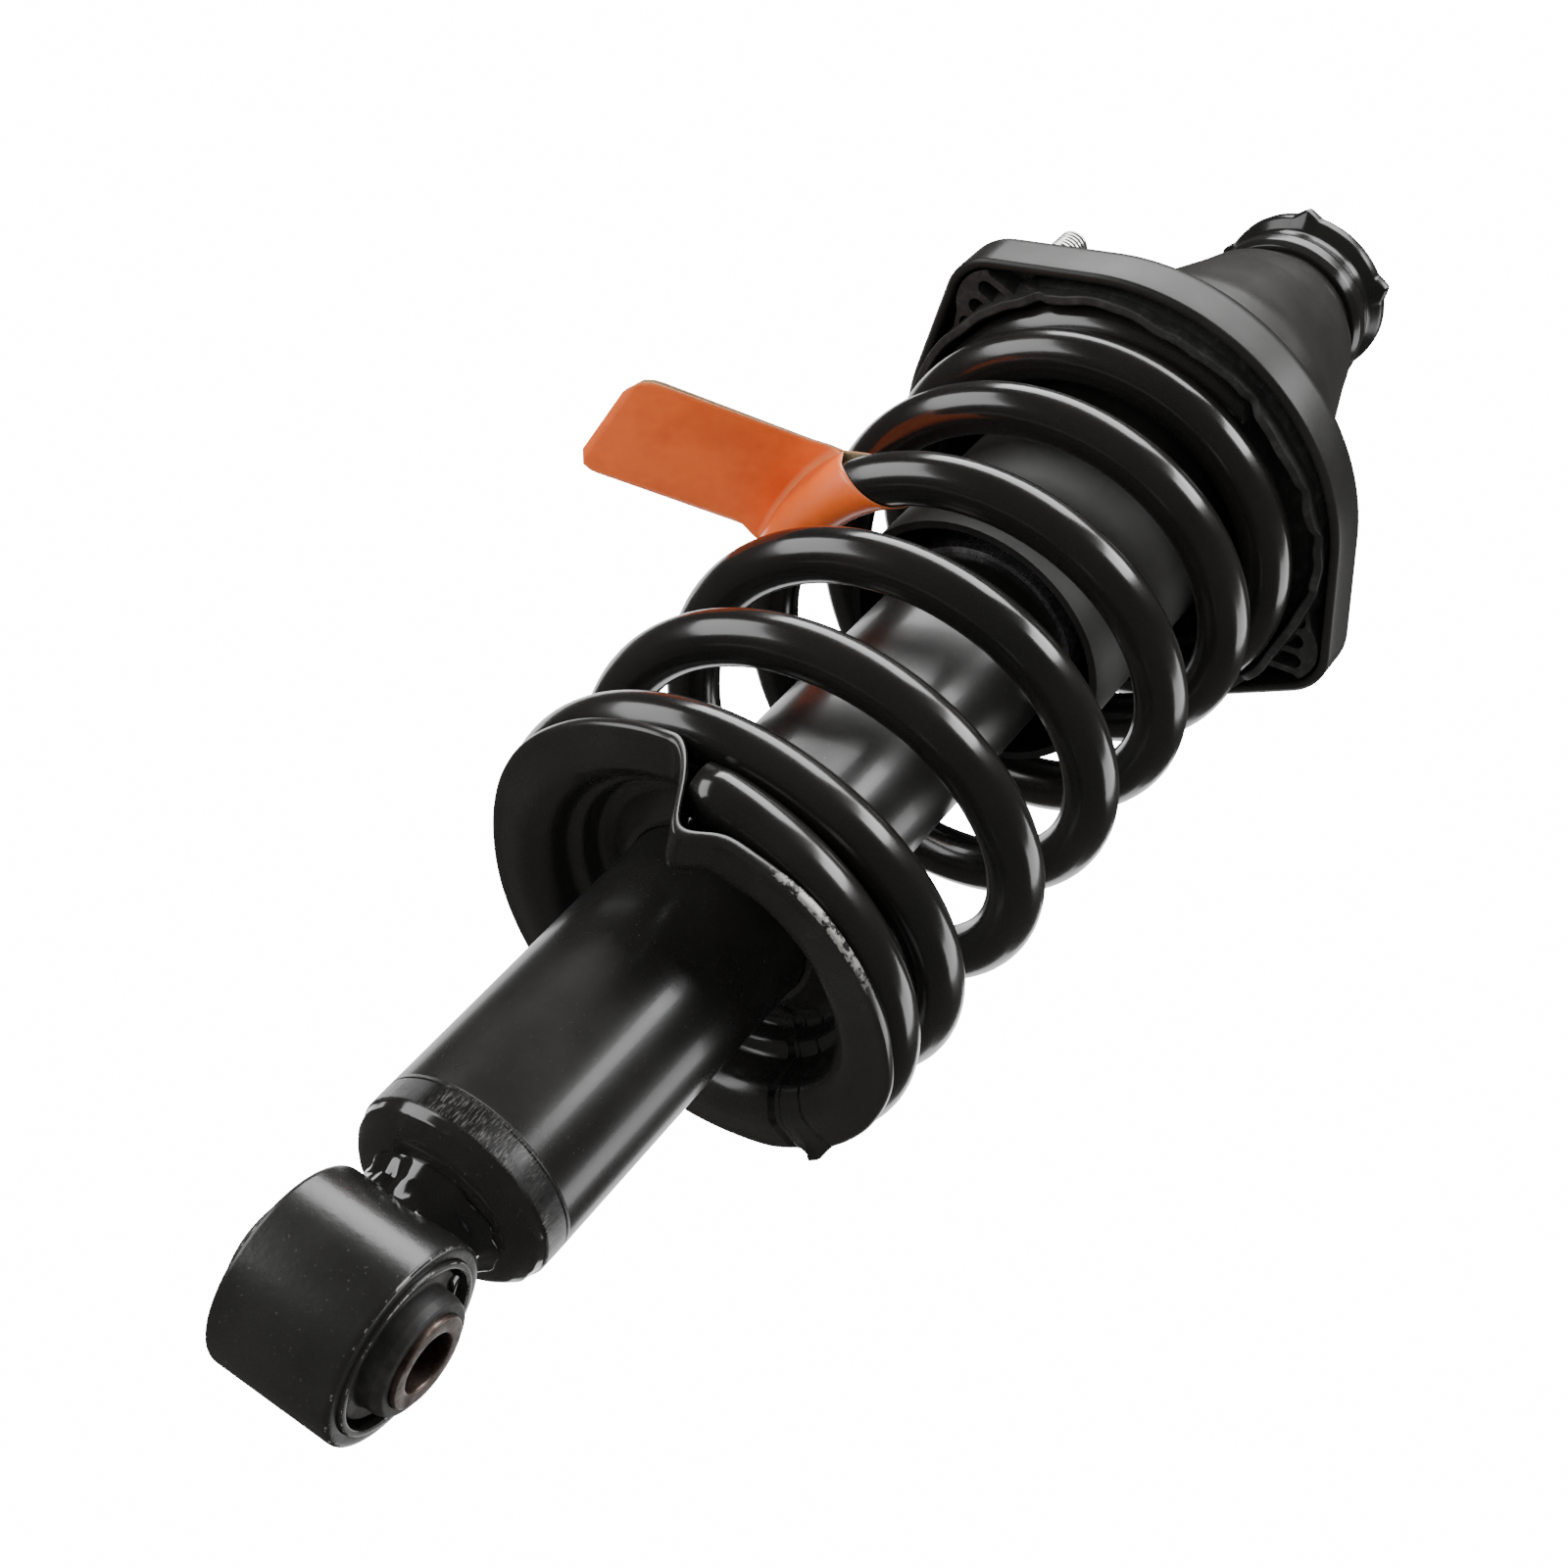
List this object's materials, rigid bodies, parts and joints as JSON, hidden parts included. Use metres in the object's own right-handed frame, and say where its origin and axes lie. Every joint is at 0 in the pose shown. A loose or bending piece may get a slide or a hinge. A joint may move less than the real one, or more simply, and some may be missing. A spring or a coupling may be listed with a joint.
{
  "type": "coil-over strut assembly",
  "caption": "Coil-over suspension strut: rubber-bushed lower eye, black damper tube with a helical spring seat, coil spring, dust cover, and a skirted upper mount with studs.",
  "frame": {"origin": "centre of the lower eye's bore", "axes": "+Z along the strut from the lower eye to the upper mount; +Y along the lower eye's bore; +X completes the right-handed frame"},
  "size_m": [0.1224, 0.1616, 0.4364],
  "materials": {
    "black_coat": "satin black coating",
    "spring_gloss": "gloss black coating",
    "dark_press": "matte black coating",
    "rubber_black": "matte",
    "cover_plastic": "matte",
    "zinc_steel": "zinc plated",
    "plain_steel": "machined",
    "rod_chrome": "hard chrome",
    "brown_steel": "lightly tarnished",
    "sintered": "sintered",
    "bearing_liner": "smooth",
    "foam_stop": "cellular",
    "tag_orange": "coated paper"
  },
  "bodies": {
    "upper_mount": {"coil_spring": "spring_gloss", "warning_tag": "tag_orange", "piston_rod": "rod_chrome", "piston": "sintered", "piston_band": "bearing_liner", "piston_discs": "plain_steel", "piston_nut": "plain_steel", "rebound_stop": "rubber_black", "rebound_retainer": "plain_steel", "bump_stop": "foam_stop", "bump_cup": "plain_steel", "dust_cover": "cover_plastic", "insulator": "rubber_black", "mount_plate": "dark_press", "mount_studs": "zinc_steel", "bell": "dark_press", "collar": "black_coat", "lower_washer": "plain_steel", "lower_bush": "rubber_black", "spacer_sleeve": "plain_steel", "upper_bush": "rubber_black", "upper_washer": "zinc_steel", "rod_nut": "zinc_steel"},
    "damper": {"eye_ring": "black_coat", "bush_shell": "black_coat", "bush_rubber": "rubber_black", "weld_neck": "black_coat", "base_cap": "black_coat", "reservoir_tube": "black_coat", "striker_cap": "plain_steel", "pressure_tube": "plain_steel", "base_valve_body": "sintered", "base_valve_discs": "plain_steel", "base_valve_rivet": "plain_steel", "rod_guide": "sintered", "rod_bush": "bearing_liner", "rod_seal": "rubber_black", "lower_spring_seat": "black_coat"},
    "lower_sleeve": {"bush_sleeve": "brown_steel"}
  },
  "joints": [
    {"name": "strut_slide", "type": "slide", "parent": "upper_mount", "child": "damper", "axis": [0, 0, 1], "range_m": [0, 0.088], "stiffness_N_per_m": 25000, "springref_m": -0.02, "deforming": ["coil_spring", "bump_stop", "warning_tag"]},
    {"name": "lower_bush_twist", "type": "hinge", "parent": "damper", "child": "lower_sleeve", "pos_m": [0, 0, 0], "axis": [0, 1, 0], "range_deg": [-20, 20], "stiffness_Nm_per_rad": 60, "deforming": ["bush_rubber"]}
  ]
}
